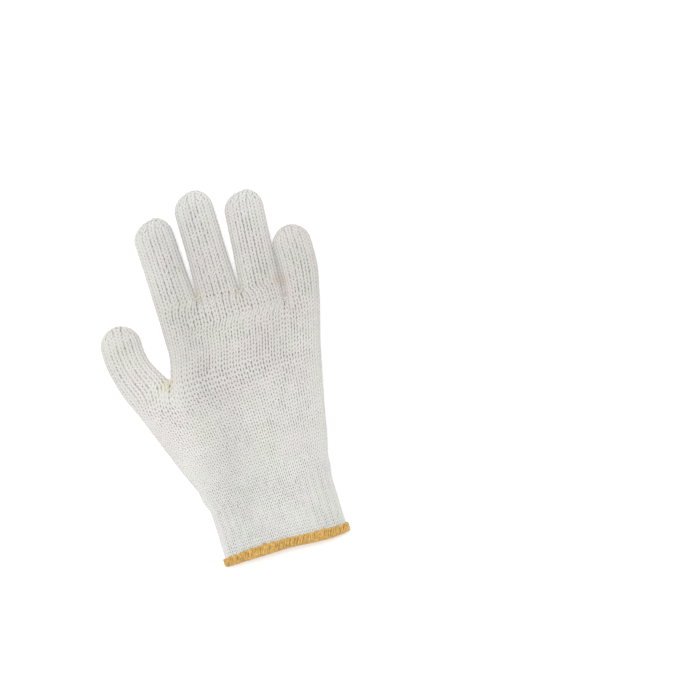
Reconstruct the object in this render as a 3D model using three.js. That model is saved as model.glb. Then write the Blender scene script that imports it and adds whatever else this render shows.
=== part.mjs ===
// A seamless cotton string-knit work glove, lying flat with its fingers spread a little.
// Four finger stalls and a thumb stall, each knitted as a tube of its own, run into the palm
// just above their crotches. The palm runs into an elasticated rib cuff, whose raw edge is
// bound with an overlocked thread.
// Lengths are in millimetres. The hem lies along X, the fingers point to +Y and +Z is up.
// Every wall is open: the hand goes in at the cuff and the hollow reaches each fingertip.

import * as THREE from "three";
import { mergeVertices } from "three/addons/utils/BufferGeometryUtils.js";

// Fabric and clearances
const fabricThickness = 2.2;
const pieceGap = 0.3;

// Cuff, from the hem up to the wrist line
const cuffLength = 50;
const cuffWidth = 81;
const cuffThickness = 15;
const ribDepth = 0.8;
const ribFade = 7;
const hemRise = 1.5;
const wristStart = 0.68;

// Overlocked thread that wraps the raw edge of the cuff
const hemHeight = 5.4;
const threadThickness = 1.0;

// Palm, from the wrist line up to the root of the middle finger
const palmLength = 120;
const palmWidth = 106;
const palmThickness = 19;

// Finger stalls
const fingerThickness = 14;
const fingerWidth = 26.5;
const indexLength = 58.5;
const middleLength = 69;
const ringLength = 62.5;
const littleLength = 47;
const thumbLength = 49;
const thumbThickness = 15;

// Knit: wales on each face, which are also the columns of facets
const thumbWales = 7;
const indexWales = 7;
const middleWales = 7;
const ringWales = 7;
const littleWales = 7;

// Rows of facets along each stretch, and the round end of a stall as a share of its width
const cuffRows = 5;
const lowerPalmRows = 9;
const upperPalmRows = 5;
const knuckleRows = 3;
const stallRows = 7;
const tipRows = 4;
const tipRoundLength = 0.5;
const tipFullness = 0.7;
const profileSamples = 72;
const ribStep = 0.5;
const hemStep = 1;

// Height of the side folds above the surface. Below them the cloth would bulge by this share
// of that height, and is flattened where it rests.
const foldHeight = 6;
const underFullness = 1.35;
const palmSquareness = 2.5;
const fingerSquareness = 2.2;

// Crotches: how far down the palm the valley between two stalls reaches, the gap by which
// neighbouring stalls stand apart above it, and the first row of a stall, just above it
const fingerCrotchReach = 26;
const thumbCrotchReach = 34;
const stallGap = 0.4;
const crotchRow = 0.035;
const crotchPadding = 1.4;

// Sections of the cuff. at: share of its length from the hem. left, right: side edges as
// shares of half its width. thick: share of its thickness.
const cuffSections = [
  { at: 0.0, left: -1.0, right: 1.0, thick: 1.0 },
  { at: 0.25, left: -1.01, right: 1.0, thick: 0.96 },
  { at: 0.5, left: -1.01, right: 1.0, thick: 0.94 },
  { at: 0.75, left: -1.02, right: 1.0, thick: 0.98 },
  { at: 1.0, left: -1.1, right: 1.04, thick: 1.07 },
];

// Side edges of the palm. leftUp and rightUp are shares of the palm's length above the wrist
// line, left and right are shares of its width, and thick is a share of its thickness. The
// lower palm also holds the thumb, so its left edge is the outer side of the thumb's root.
const lowerPalmSections = [
  { at: 0.0, leftUp: 0.0, left: -0.42, rightUp: 0.0, right: 0.397, thick: 0.8 },
  { at: 0.2, leftUp: 0.106, left: -0.471, rightUp: 0.115, right: 0.43, thick: 0.88 },
  { at: 0.4, leftUp: 0.212, left: -0.517, rightUp: 0.23, right: 0.457, thick: 0.95 },
  { at: 0.6, leftUp: 0.318, left: -0.562, rightUp: 0.345, right: 0.486, thick: 1.0 },
  { at: 0.8, leftUp: 0.424, left: -0.607, rightUp: 0.46, right: 0.516, thick: 1.0 },
  { at: 1.0, leftUp: 0.53, left: -0.653, rightUp: 0.575, right: 0.547, thick: 0.98 },
];
const upperPalmSections = [
  { at: 0.0, leftUp: 0.62, left: -0.388, rightUp: 0.575, right: 0.547, thick: 0.98 },
  { at: 0.5, leftUp: 0.735, left: -0.356, rightUp: 0.705, right: 0.588, thick: 0.95 },
  { at: 1.0, leftUp: 0.84, left: -0.353, rightUp: 0.833, right: 0.63, thick: 0.9 },
];
const knuckleSections = [
  { at: 0.0, leftUp: 0.84, left: -0.353, rightUp: 0.867, right: 0.422, thick: 0.9 },
  { at: 0.5, leftUp: 0.912, left: -0.353, rightUp: 0.917, right: 0.426, thick: 0.87 },
  { at: 1.0, leftUp: 0.984, left: -0.353, rightUp: 0.967, right: 0.431, thick: 0.84 },
];

// Crotches between neighbouring fingers: across is a share of the palm's width, up a share
// of its length above the wrist line. The little finger parts from the palm first, below the
// knuckle band that holds the other three.
const fingerCrotches = [
  { between: "index-middle", across: -0.09, up: 1.0 },
  { between: "middle-ring", across: 0.172, up: 0.975 },
];
const littleCrotch = { between: "ring-little", across: 0.422, up: 0.867 };

// Stalls. lean: sideways shift of the tip, bow: sideways shift of the middle, both as shares
// of the finger width. width: share of the finger width near the tip. apartLeft, apartRight:
// 1 where a neighbouring stall stands beside that edge, with the gap between them.
const fingerStalls = [
  {
    name: "index",
    length: indexLength,
    wales: indexWales,
    lean: -0.05,
    bow: 0.0,
    width: 1.01,
    apartLeft: 0,
    apartRight: 1,
  },
  {
    name: "middle",
    length: middleLength,
    wales: middleWales,
    lean: 0.02,
    bow: 0.0,
    width: 0.99,
    apartLeft: 1,
    apartRight: 1,
  },
  {
    name: "ring",
    length: ringLength,
    wales: ringWales,
    lean: 0.15,
    bow: -0.005,
    width: 0.99,
    apartLeft: 1,
    apartRight: 1,
  },
  {
    name: "little",
    length: littleLength,
    wales: littleWales,
    lean: 0.15,
    bow: 0.045,
    width: 0.95,
    apartLeft: 1,
    apartRight: 0,
  },
];
const thumbStall = {
  name: "thumb",
  length: thumbLength,
  wales: thumbWales,
  lean: -0.37,
  bow: -0.11,
  width: 1.02,
  apartLeft: 0,
  apartRight: 1,
};

const TOP = 1;
const UNDER = -1;

// Interpolation helpers
const mix = (a, b, t) => a + (b - a) * t;
const clamp01 = (t) => Math.min(1, Math.max(0, t));
const smooth = (t) => clamp01(t) ** 2 * (3 - 2 * clamp01(t));

// Smooth curve through a table's column, evaluated at a share of the way through the table.
function tableValue(table, column, at) {
  const points = table.map((row) => new THREE.Vector2(row.at, row[column]));
  const last = points.length - 1;
  let k = 0;
  while (k < last - 1 && at > points[k + 1].x) k += 1;
  const slope = (i) => {
    const before = points[Math.max(0, i - 1)];
    const after = points[Math.min(last, i + 1)];
    return (after.y - before.y) / (after.x - before.x);
  };
  const step = points[k + 1].x - points[k].x;
  const t = clamp01((at - points[k].x) / step);
  const rise = points[k + 1].y - points[k].y;
  const bend = (1 - t) * (slope(k) * step - rise) - t * (slope(k + 1) * step - rise);
  return mix(points[k].y, points[k + 1].y, t) + t * (1 - t) * bend;
}

// One flattened tube section between two side edges. shape holds its thickness, squareness,
// floor (0 where it rests) and full (1, or less where a round tip draws in towards its fold).
// It returns a function that gives the point a share f of the way round one face, measured
// along the cloth from the left edge.
function span(left, right, shape) {
  const halfWidth = left.distanceTo(right) / 2;
  const full = shape.full ?? 1;
  const rise = (shape.thickness - foldHeight) * full;
  const belly = foldHeight * underFullness * full;
  const floor = mix(foldHeight, shape.floor ?? 0, full);
  const faces = {};
  for (const face of [TOP, UNDER]) {
    const line = [];
    let length = 0;
    for (let i = 0; i <= profileSamples; i += 1) {
      const angle = (Math.PI * i) / profileSamples;
      const power = 2 / shape.squareness;
      const across = -Math.sign(Math.cos(angle)) * Math.abs(Math.cos(angle)) ** power;
      const lift = Math.sin(angle) ** power;
      const under = Math.max(floor, foldHeight - belly * lift);
      const z = face === TOP ? foldHeight + rise * lift : under;
      const before = line[i - 1];
      if (before) length += Math.hypot((across - before.across) * halfWidth, z - before.z);
      line.push({ across, z, length });
    }
    faces[face] = line;
  }
  return (face, f) => {
    const line = faces[face];
    const target = clamp01(f) * line[profileSamples].length;
    let i = 1;
    while (i < profileSamples && line[i].length < target) i += 1;
    const t = (target - line[i - 1].length) / (line[i].length - line[i - 1].length || 1);
    const across = mix(line[i - 1].across, line[i].across, t);
    const plan = left.clone().lerp(right, (across + 1) / 2);
    return new THREE.Vector3(plan.x, plan.y, mix(line[i - 1].z, line[i].z, t));
  };
}

// A section of a palm that splits into stalls further up. edges are the plan points where
// stalls will part, with the wales up to each. Each stage lays sections side by side from one
// edge to another, and share is how far the cloth has gone from the stage before it to this.
function splittingRow(edges, stages) {
  const laid = stages.map(({ sections, share }) => ({
    share,
    parts: sections.map(({ from, to, shape }) => {
      const section = span(edges[from].plan, edges[to].plan, shape);
      const first = edges[from].wale;
      const last = edges[to].wale;
      return { last, at: (face, wale) => section(face, (wale - first) / (last - first)) };
    }),
  }));
  return (face, wale) => {
    const points = laid.map(({ parts }) => {
      const part = parts.find(({ last }) => wale < last) ?? parts[parts.length - 1];
      return part.at(face, wale);
    });
    return points.reduce((point, next, i) => point.lerp(next, laid[i].share));
  };
}

// How far a row has split into stalls, at a distance below the crotch: the valley between two
// stalls closes like a quarter of an ellipse, so the cloth turns over roundly at the crotch.
function splitBelowCrotch(distance, reach) {
  const t = clamp01(1 - distance / reach);
  return 1 - Math.sqrt(1 - t * t);
}

// Shapes of the sections
const palmShape = (thick) => ({
  thickness: palmThickness * thick,
  squareness: palmSquareness,
});
const stallShape = (thickness) => ({ thickness, squareness: fingerSquareness });

// Side edges of the palm in plan, at a share of the way through one of its tables
function palmEdges(table, at) {
  const value = (column) => tableValue(table, column, at);
  return {
    left: new THREE.Vector2(value("left") * palmWidth, cuffLength + value("leftUp") * palmLength),
    right: new THREE.Vector2(
      value("right") * palmWidth,
      cuffLength + value("rightUp") * palmLength,
    ),
    thick: value("thick"),
  };
}

const planPoint = ({ across, up }) =>
  new THREE.Vector2(across * palmWidth, cuffLength + up * palmLength);
const fingerCrotchPlans = fingerCrotches.map(planPoint);
const littleCrotchPlan = planPoint(littleCrotch);

// Wale numbers run from 0 at the outer side of the thumb to allWales at the little finger.
const bandWales = indexWales + middleWales + ringWales;
const handWales = bandWales + littleWales;
const allWales = thumbWales + handWales;
const stallStarts = [thumbWales];
fingerStalls.forEach((stall, i) => stallStarts.push(stallStarts[i] + stall.wales));

// Lower palm: one broad section at the wrist, parted into thumb and palm at the thumb's crotch
function lowerPalmRow(at) {
  const { left, right, thick } = palmEdges(lowerPalmSections, at);
  const crotch = palmEdges(upperPalmSections, 0).left;
  const wrist = palmEdges(lowerPalmSections, 0);
  const wristParting = wrist.left.clone().lerp(wrist.right, thumbWales / allWales);
  const parting = wristParting.lerp(crotch, at);
  const edges = [
    { plan: left, wale: 0 },
    { plan: parting, wale: thumbWales },
    { plan: right, wale: allWales },
  ];
  const whole = [{ from: 0, to: 2, shape: palmShape(thick) }];
  const parted = [
    { from: 0, to: 1, shape: stallShape(thumbThickness) },
    { from: 1, to: 2, shape: palmShape(thick) },
  ];
  return splittingRow(edges, [
    { sections: whole, share: 1 },
    { sections: parted, share: splitBelowCrotch(crotch.y - parting.y, thumbCrotchReach) },
  ]);
}

// Where the lines that will part the index, middle and ring stalls have got to, at a share of
// the way from the thumb's crotch to the roots of those stalls
function bandPartings(share) {
  const start = palmEdges(upperPalmSections, 0);
  return fingerCrotchPlans.map((crotch, i) => {
    const across = (stallStarts[i + 1] - thumbWales) / handWales;
    return start.left.clone().lerp(start.right, across).lerp(crotch, share);
  });
}
const bandShare = upperPalmRows / (upperPalmRows + knuckleRows);
const bandSplit = (share) => {
  const below = fingerCrotchPlans[1].y - palmEdges(upperPalmSections, 0).left.y;
  return splitBelowCrotch((1 - share) * below, fingerCrotchReach);
};
const bandStalls = [0, 1, 2].map((i) => ({
  from: i,
  to: i + 1,
  shape: stallShape(fingerThickness),
}));

// Upper palm: from the thumb's crotch to the root of the little finger
function upperPalmRow(at) {
  const { left, right, thick } = palmEdges(upperPalmSections, at);
  const start = palmEdges(upperPalmSections, 0);
  const littleStart = start.left.clone().lerp(start.right, bandWales / handWales);
  const plans = [
    left,
    ...bandPartings(at * bandShare),
    littleStart.lerp(littleCrotchPlan, at),
    right,
  ];
  const edges = plans.map((plan, i) => ({ plan, wale: stallStarts[i] }));
  const little = { from: 3, to: 4, shape: stallShape(fingerThickness) };
  const distance = (1 - at) * (littleCrotchPlan.y - start.left.y);
  return splittingRow(edges, [
    { sections: [{ from: 0, to: 4, shape: palmShape(thick) }], share: 1 },
    {
      sections: [{ from: 0, to: 3, shape: palmShape(thick) }, little],
      share: splitBelowCrotch(distance, fingerCrotchReach),
    },
    { sections: [...bandStalls, little], share: bandSplit(at * bandShare) },
  ]);
}

// Knuckle band: from the root of the little finger to the roots of the other three
function knuckleRow(at) {
  const { left, right, thick } = palmEdges(knuckleSections, at);
  right.x -= (stallGap / 2) * smooth(at / crotchRow);
  const share = mix(bandShare, 1, at);
  const plans = [left, ...bandPartings(share), right];
  const edges = plans.map((plan, i) => ({ plan, wale: stallStarts[i] }));
  return splittingRow(edges, [
    { sections: [{ from: 0, to: 3, shape: palmShape(thick) }], share: 1 },
    { sections: bandStalls, share: bandSplit(share) },
  ]);
}

// Rows of a stall, from its root between two plan points to its round tip. The first two rows
// belong to the palm, which reaches just past the crotches. The stall itself starts a gap above
// them. The last row is a single point.
function stallRowsOf({ stall, root: [rootLeft, rootRight], firstWale, thickness }) {
  const root = rootLeft.clone().add(rootRight).multiplyScalar(0.5);
  const across = rootRight.clone().sub(rootLeft);
  const rootHalf = across.length() / 2;
  const rootAcross = across.normalize();
  const tipHalf = (fingerWidth * stall.width) / 2;
  const roundLength = fingerWidth * stall.width * tipRoundLength;
  const straight = stall.length - roundLength;
  const tip = root.clone().add(new THREE.Vector2(stall.lean * fingerWidth, straight));
  const middle = root.clone().lerp(tip, 0.5);
  middle.x += 2 * stall.bow * fingerWidth;
  const centreLine = new THREE.QuadraticBezierCurve(root, middle, tip);
  const wrap = (section) => (face, wale) => section(face, (wale - firstWale) / stall.wales);
  const rows = [];
  const stations = [0, crotchRow, crotchRow + pieceGap / straight];
  for (let i = 1; i <= stallRows; i += 1) stations.push(i / stallRows);
  for (const t of stations) {
    const along = centreLine.getTangent(t);
    const square = new THREE.Vector2(along.y, -along.x);
    const side = rootAcross.clone().lerp(square, smooth(2 * t)).normalize();
    const parted = (stallGap / 2) * smooth(t / crotchRow);
    const half = mix(rootHalf, tipHalf, smooth(1.6 * t));
    const centre = centreLine.getPoint(t);
    const left = centre.clone().addScaledVector(side, parted * stall.apartLeft - half);
    const right = centre.clone().addScaledVector(side, half - parted * stall.apartRight);
    rows.push(wrap(span(left, right, stallShape(thickness))));
  }
  const along = centreLine.getTangent(1);
  const square = new THREE.Vector2(along.y, -along.x);
  for (let i = 1; i <= tipRows; i += 1) {
    const angle = (Math.PI / 2) * (i / tipRows);
    const centre = tip.clone().addScaledVector(along, Math.sin(angle) * roundLength);
    if (i === tipRows) {
      const point = new THREE.Vector3(centre.x, centre.y, foldHeight);
      rows.push(() => point.clone());
      continue;
    }
    const half = tipHalf * Math.cos(angle);
    const parted = (stallGap / 2) * Math.cos(angle);
    const left = centre.clone().addScaledVector(square, parted * stall.apartLeft - half);
    const right = centre.clone().addScaledVector(square, half - parted * stall.apartRight);
    const full = Math.cos(angle) ** tipFullness;
    const shape = { thickness, squareness: fingerSquareness, full };
    rows.push(wrap(span(left, right, shape)));
  }
  return rows;
}

// Cuff sections, at a height above the hem. Its underside is lifted by the thread at the hem.
const hemLift = threadThickness + pieceGap;
function cuffRow(height) {
  const at = height / cuffLength;
  const value = (column) => tableValue(cuffSections, column, at);
  const left = new THREE.Vector2((value("left") * cuffWidth) / 2, height);
  const right = new THREE.Vector2((value("right") * cuffWidth) / 2, height);
  const wrist = palmEdges(lowerPalmSections, 0);
  const toWrist = smooth((at - wristStart) / (1 - wristStart));
  left.x = mix(left.x, wrist.left.x, toWrist);
  right.x = mix(right.x, wrist.right.x, toWrist);
  const floor = hemLift * (1 - smooth((height - hemHeight - pieceGap) / (cuffLength / 2)));
  const thickness = mix(cuffThickness * value("thick"), palmThickness * wrist.thick, toWrist);
  const section = span(left, right, { thickness, squareness: palmSquareness, floor });
  return (face, wale) => section(face, wale / allWales);
}

// A sheet of facets over rows of sections, for one face of the glove
function sheet(rows, face, firstWale, lastWale) {
  const corners = [];
  const at = (row, wale) => rows[row](face, wale);
  for (let row = 0; row + 1 < rows.length; row += 1) {
    for (let wale = firstWale; wale < lastWale; wale += 1) {
      const [a, b] = [at(row, wale), at(row, wale + 1)];
      const [c, d] = [at(row + 1, wale + 1), at(row + 1, wale)];
      const quad = face === TOP ? [a, b, c, a, c, d] : [b, a, d, b, d, c];
      corners.push(...quad);
    }
  }
  return corners;
}

// Both faces of a tube
const tube = (rows, firstWale, lastWale) => [
  ...sheet(rows, TOP, firstWale, lastWale),
  ...sheet(rows, UNDER, firstWale, lastWale),
];

// Joins facets at shared corners and drops those that have collapsed at a stall's tip.
function weld(corners) {
  const geometry = mergeVertices(new THREE.BufferGeometry().setFromPoints(corners), 1e-3);
  const index = geometry.index.array;
  const kept = [];
  for (let i = 0; i < index.length; i += 3) {
    const [a, b, c] = index.slice(i, i + 3);
    if (a !== b && b !== c && c !== a) kept.push(a, b, c);
  }
  geometry.setIndex(kept);
  geometry.computeVertexNormals();
  return geometry;
}

// The straight line in plan that a row of a tube lies on, where the tube ends
const rimOf = (row, firstWale, lastWale) => {
  const left = row(TOP, firstWale);
  const across = row(TOP, lastWale).sub(left).setZ(0);
  const width = across.length();
  across.normalize();
  return { left, across, width, along: new THREE.Vector3(-across.y, across.x, 0) };
};
const isOnRim = (point, { left, across, width, along }) => {
  const from = point.clone().sub(left);
  const sideways = from.dot(across);
  return Math.abs(from.dot(along)) < 1e-3 && sideways > -1e-2 && sideways < width + 1e-2;
};

// Turns an open skin into a wall: the skin, the same skin pushed inwards by the thickness, and
// a flat strip round each rim. At a crotch, where the upper and the lower face meet in a point,
// the skin is pushed straight down into the palm.
function thicken(skin, thickness, rims, crotches) {
  const outer = skin.getAttribute("position");
  const normal = skin.getAttribute("normal");
  const count = outer.count;
  const point = new THREE.Vector3();
  const away = new THREE.Vector3();
  const points = [];
  const near = new THREE.Vector2();
  for (let i = 0; i < count; i += 1) {
    points.push(...point.fromBufferAttribute(outer, i));
  }
  for (let i = 0; i < count; i += 1) {
    point.fromBufferAttribute(outer, i);
    away.fromBufferAttribute(normal, i);
    const rim = rims.find((each) => isOnRim(point, each));
    if (rim) away.addScaledVector(rim.along, -away.dot(rim.along)).normalize();
    near.set(point.x, point.y);
    if (crotches.some((crotch) => near.distanceTo(crotch) < 1e-2)) {
      away.set(0, crotchPadding, 0);
    }
    points.push(...point.addScaledVector(away, -thickness));
  }
  const index = [...skin.index.array];
  const triangles = [...index];
  const directed = new Set();
  for (let i = 0; i < index.length; i += 3) {
    const corners = index.slice(i, i + 3);
    triangles.push(corners[0] + count, corners[2] + count, corners[1] + count);
    corners.forEach((corner, k) => directed.add(corner + "," + corners[(k + 1) % 3]));
  }
  for (const edge of directed) {
    const [a, b] = edge.split(",").map(Number);
    if (!directed.has(b + "," + a)) triangles.push(b, a, a + count, b, a + count, b + count);
  }
  const wall = new THREE.BufferGeometry();
  wall.setAttribute("position", new THREE.Float32BufferAttribute(points, 3));
  wall.setIndex(triangles);
  return flatShaded(wall);
}

const flatShaded = (geometry) => {
  const flat = geometry.toNonIndexed();
  flat.computeVertexNormals();
  return flat;
};

// How many of a stall's rows belong to the palm
const palmRowsOnStalls = 2;

// The five stalls, with the two plan points that each one's root lies between
function stallsOnPalm() {
  const thumbEdge = palmEdges(lowerPalmSections, 1).left;
  const thumbCrotch = palmEdges(upperPalmSections, 0).left;
  const knuckles = palmEdges(knuckleSections, 1);
  knuckles.right.x -= stallGap / 2;
  const littleEdge = palmEdges(upperPalmSections, 1).right;
  const roots = [
    [knuckles.left, fingerCrotchPlans[0]],
    [fingerCrotchPlans[0], fingerCrotchPlans[1]],
    [fingerCrotchPlans[1], knuckles.right],
    [littleCrotchPlan, littleEdge],
  ];
  const fingers = fingerStalls.map((stall, i) => ({
    stall,
    root: roots[i],
    firstWale: stallStarts[i],
    thickness: fingerThickness,
  }));
  const thumb = {
    stall: thumbStall,
    root: [thumbEdge, thumbCrotch],
    firstWale: 0,
    thickness: thumbThickness,
  };
  return [thumb, ...fingers].map((each) => {
    const rows = stallRowsOf(each);
    return {
      ...each,
      lastWale: each.firstWale + each.stall.wales,
      onPalm: rows.slice(0, palmRowsOnStalls),
      above: rows.slice(palmRowsOnStalls),
    };
  });
}
// Palm shell: lower palm, upper palm and knuckles, open at the wrist and at the five stalls
function palmShell(stalls) {
  const rowShares = (count) => Array.from({ length: count }, (_, i) => (i + 1) / count);
  const rowsOf = (make, count) => [0, ...rowShares(count)].map(make);
  const wristGap = pieceGap / palmLength;
  const rowsLower = rowsOf(lowerPalmRow, lowerPalmRows);
  rowsLower[0] = (face, wale) => {
    const onWrist = lowerPalmRow(0)(face, wale);
    const above = lowerPalmRow(1 / lowerPalmRows)(face, wale);
    return onWrist.lerp(above, (wristGap * palmLength) / (above.y - onWrist.y));
  };
  const rowsUpper = rowsOf(upperPalmRow, upperPalmRows);
  const rowsKnuckle = [0, crotchRow, ...rowShares(knuckleRows)].map(knuckleRow);
  const corners = [
    ...tube(rowsLower, 0, allWales),
    ...tube(rowsUpper, thumbWales, allWales),
    ...tube(rowsKnuckle, thumbWales, thumbWales + bandWales),
  ];
  const rims = [rimOf(rowsLower[0], 0, allWales)];
  for (const { onPalm, firstWale, lastWale } of stalls) {
    corners.push(...tube(onPalm, firstWale, lastWale));
    rims.push(rimOf(onPalm[palmRowsOnStalls - 1], firstWale, lastWale));
  }
  const thumbCrotch = palmEdges(upperPalmSections, 0).left;
  const crotches = [thumbCrotch, littleCrotchPlan, ...fingerCrotchPlans];
  return thicken(weld(corners), fabricThickness, rims, crotches);
}

// One stall: a tube that is open at its root and round at its tip
function stallShell({ above, firstWale, lastWale }) {
  const skin = weld(tube(above, firstWale, lastWale));
  return thicken(skin, fabricThickness, [rimOf(above[0], firstWale, lastWale)], []);
}

// The closed loop of points round a section of the cuff, a step of wales apart
function ringOf(row, step) {
  const ring = [];
  for (let wale = 0; wale < allWales; wale += step) ring.push(row(TOP, wale));
  for (let wale = allWales; wale > 0; wale -= step) ring.push(row(UNDER, wale));
  return ring;
}

// The same loop moved out by a distance square to each side, at a height of its own. Its
// corners are mitred, so that a wall between two such loops keeps its thickness at the folds.
function movedOut(ring, out, height) {
  const count = ring.length;
  return ring.map((point, i) => {
    const before = ring[(i + count - 1) % count];
    const after = ring[(i + 1) % count];
    const sideIn = new THREE.Vector2(before.z - point.z, point.x - before.x).normalize();
    const sideOut = new THREE.Vector2(point.z - after.z, after.x - point.x).normalize();
    const mitre = out / (1 + sideIn.dot(sideOut));
    const away = sideIn.add(sideOut).multiplyScalar(mitre);
    return new THREE.Vector3(point.x + away.x, height, point.z + away.y);
  });
}

// A closed body through a cycle of loops that all have the same number of points
function bodyThrough(rings) {
  const corners = [];
  const count = rings[0].length;
  rings.forEach((ring, k) => {
    const next = rings[(k + 1) % rings.length];
    for (let i = 0; i < count; i += 1) {
      const j = (i + 1) % count;
      corners.push(ring[i], ring[j], next[j], ring[i], next[j], next[i]);
    }
  });
  return flatShaded(weld(corners));
}

// The hem isn't straight: its middle rises a little, and the rise dies out up the cuff.
function riseAtHem(geometry) {
  const position = geometry.getAttribute("position");
  for (let i = 0; i < position.count; i += 1) {
    const across = position.getX(i) / (cuffWidth / 2);
    const rise = hemRise * Math.max(0, 1 - across * across);
    const height = position.getY(i);
    position.setY(i, height + rise * (1 - smooth((height - hemHeight) / (cuffLength / 2))));
  }
  geometry.computeVertexNormals();
  return geometry;
}

// Wrist cuff: a tube whose every other wale is drawn in by the elastic, which makes the ribs
function wristCuff() {
  const bottom = threadThickness + pieceGap;
  const bandTop = hemHeight + pieceGap;
  const heights = [bottom];
  for (let i = 0; i <= cuffRows; i += 1) heights.push(mix(bandTop, cuffLength, i / cuffRows));
  const outer = heights.map((height) => {
    const row = cuffRow(Math.max(height, bandTop));
    const fade =
      smooth((height - bandTop) / ribFade) * smooth((cuffLength - height) / ribFade);
    const ribbed = (face, wale) => {
      const point = row(face, wale);
      const middle = (row(TOP, wale).z + row(UNDER, wale).z) / 2;
      const drawnIn = ribDepth * fade * (0.5 - 0.5 * Math.cos(Math.PI * wale));
      point.z += Math.sign(middle - point.z) * Math.min(drawnIn, Math.abs(middle - point.z));
      return point;
    };
    return movedOut(ringOf(ribbed, ribStep), 0, height);
  });
  const inner = outer.map((ring) => movedOut(ring, -fabricThickness, ring[0].y));
  return riseAtHem(bodyThrough([...outer, ...inner.reverse()]));
}

// Overlocked edge: a rounded channel of thread that wraps the cuff's raw edge, outside, under
// and inside
function cuffOverlock() {
  const outside = pieceGap + threadThickness;
  const inside = -fabricThickness - pieceGap - threadThickness;
  const corner = threadThickness * 0.5;
  // Section of the channel. out: distance out from the cuff's face. up: height above the hem.
  const section = [
    { out: outside, up: corner },
    { out: outside, up: hemHeight - corner },
    { out: outside - corner, up: hemHeight },
    { out: pieceGap, up: hemHeight - corner },
    { out: pieceGap, up: threadThickness },
    { out: inside + threadThickness, up: threadThickness },
    { out: inside + threadThickness, up: hemHeight - corner },
    { out: inside + corner, up: hemHeight },
    { out: inside, up: hemHeight - corner },
    { out: inside, up: corner },
    { out: inside + corner, up: 0 },
    { out: outside - corner, up: 0 },
  ];
  const edge = ringOf(cuffRow(hemHeight + pieceGap), hemStep);
  return riseAtHem(bodyThrough(section.map(({ out, up }) => movedOut(edge, out, up))));
}

// Materials
const bleachedCotton = new THREE.MeshStandardMaterial({
  color: new THREE.Color(0.86, 0.85, 0.82),
  roughness: 0.95,
  metalness: 0,
});
const elasticCotton = new THREE.MeshStandardMaterial({
  color: new THREE.Color(0.85, 0.86, 0.83),
  roughness: 0.95,
  metalness: 0,
});
const amberThread = new THREE.MeshStandardMaterial({
  color: new THREE.Color(0.85, 0.6, 0.22),
  roughness: 0.85,
  metalness: 0,
});

function piece(name, geometry, material) {
  const mesh = new THREE.Mesh(geometry, material);
  mesh.name = name;
  return mesh;
}

const glove = new THREE.Group();
const stalls = stallsOnPalm();
glove.add(piece("palm_shell", palmShell(stalls), bleachedCotton));
for (const each of stalls) {
  glove.add(piece(each.stall.name + "_stall", stallShell(each), bleachedCotton));
}
glove.add(piece("wrist_cuff", wristCuff(), elasticCotton));
glove.add(piece("cuff_overlock", cuffOverlock(), amberThread));

// The origin is on the surface that the glove lies on, under the middle of its box.
const box = new THREE.Box3().setFromObject(glove);
const centre = box.getCenter(new THREE.Vector3());
glove.position.set(-centre.x, -centre.y, -box.min.z);

export default glove;
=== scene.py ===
import math

import bpy
import numpy as np
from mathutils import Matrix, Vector


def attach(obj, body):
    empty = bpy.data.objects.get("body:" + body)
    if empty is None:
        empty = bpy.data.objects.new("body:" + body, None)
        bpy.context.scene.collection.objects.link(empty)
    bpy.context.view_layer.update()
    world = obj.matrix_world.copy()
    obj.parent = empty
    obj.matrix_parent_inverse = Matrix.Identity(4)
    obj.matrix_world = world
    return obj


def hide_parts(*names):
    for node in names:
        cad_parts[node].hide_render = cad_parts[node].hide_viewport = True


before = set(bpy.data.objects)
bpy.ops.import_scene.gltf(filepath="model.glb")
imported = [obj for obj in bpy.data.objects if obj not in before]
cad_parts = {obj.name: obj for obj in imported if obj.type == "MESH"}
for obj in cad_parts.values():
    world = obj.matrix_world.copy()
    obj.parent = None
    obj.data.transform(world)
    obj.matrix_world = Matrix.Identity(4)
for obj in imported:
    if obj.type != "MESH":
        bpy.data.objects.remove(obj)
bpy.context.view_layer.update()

# Sizes, in mm
FABRIC = 2.2
PIECE_GAP = 0.3
CUFF_LENGTH, CUFF_WIDTH, CUFF_THICKNESS = 50.0, 81.0, 15.0
RIB_SHOWN, RIB_FADE, RIB_TOP_FADE, WRIST_START = 0.34, 7.0, 15.4, 0.68
# the ribs' share in the stretched middle of the cuff, its place, half width and fade
RIB_LEAST, RIB_MIDDLE, RIB_FLAT, RIB_SIDES = 0.2, -2.0, 12.0, 20.0
HEM_HEIGHT, THREAD = 5.4, 1.0
PALM_LENGTH, PALM_WIDTH, PALM_THICKNESS = 120.0, 106.0, 19.0
FINGER_THICKNESS, FINGER_WIDTH, THUMB_THICKNESS = 14.0, 26.5, 15.0
WALES = 7                           # wales on one face of each stall
TIP_ROUND, TIP_FULLNESS = 0.5, 0.7
FOLD, UNDER_FULLNESS = 6.0, 1.35
PALM_SQUARENESS, FINGER_SQUARENESS = 2.5, 2.2
FINGER_REACH, THUMB_REACH = 26.0, 34.0
STALL_GAP, CROTCH_ROW = 0.4, 0.035
CREASE, THUMB_CREASE = 0.3, 0.15    # how much of those reaches the cloth itself follows
SECTION_SAMPLES = 145
# from the source's own axes, with the hem on the x axis, to the frame, centred on the glove
SHIFT = np.array([3.0877, -118.7497, 0.0])

# the cuff from hem to wrist: at, left, right, thick
CUFF = [(0, -1, 1, 1), (0.25, -1.01, 1, 0.96), (0.5, -1.01, 1, 0.94),
        (0.75, -1.02, 1, 0.98), (1, -1.1, 1.04, 1.07)]
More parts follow.
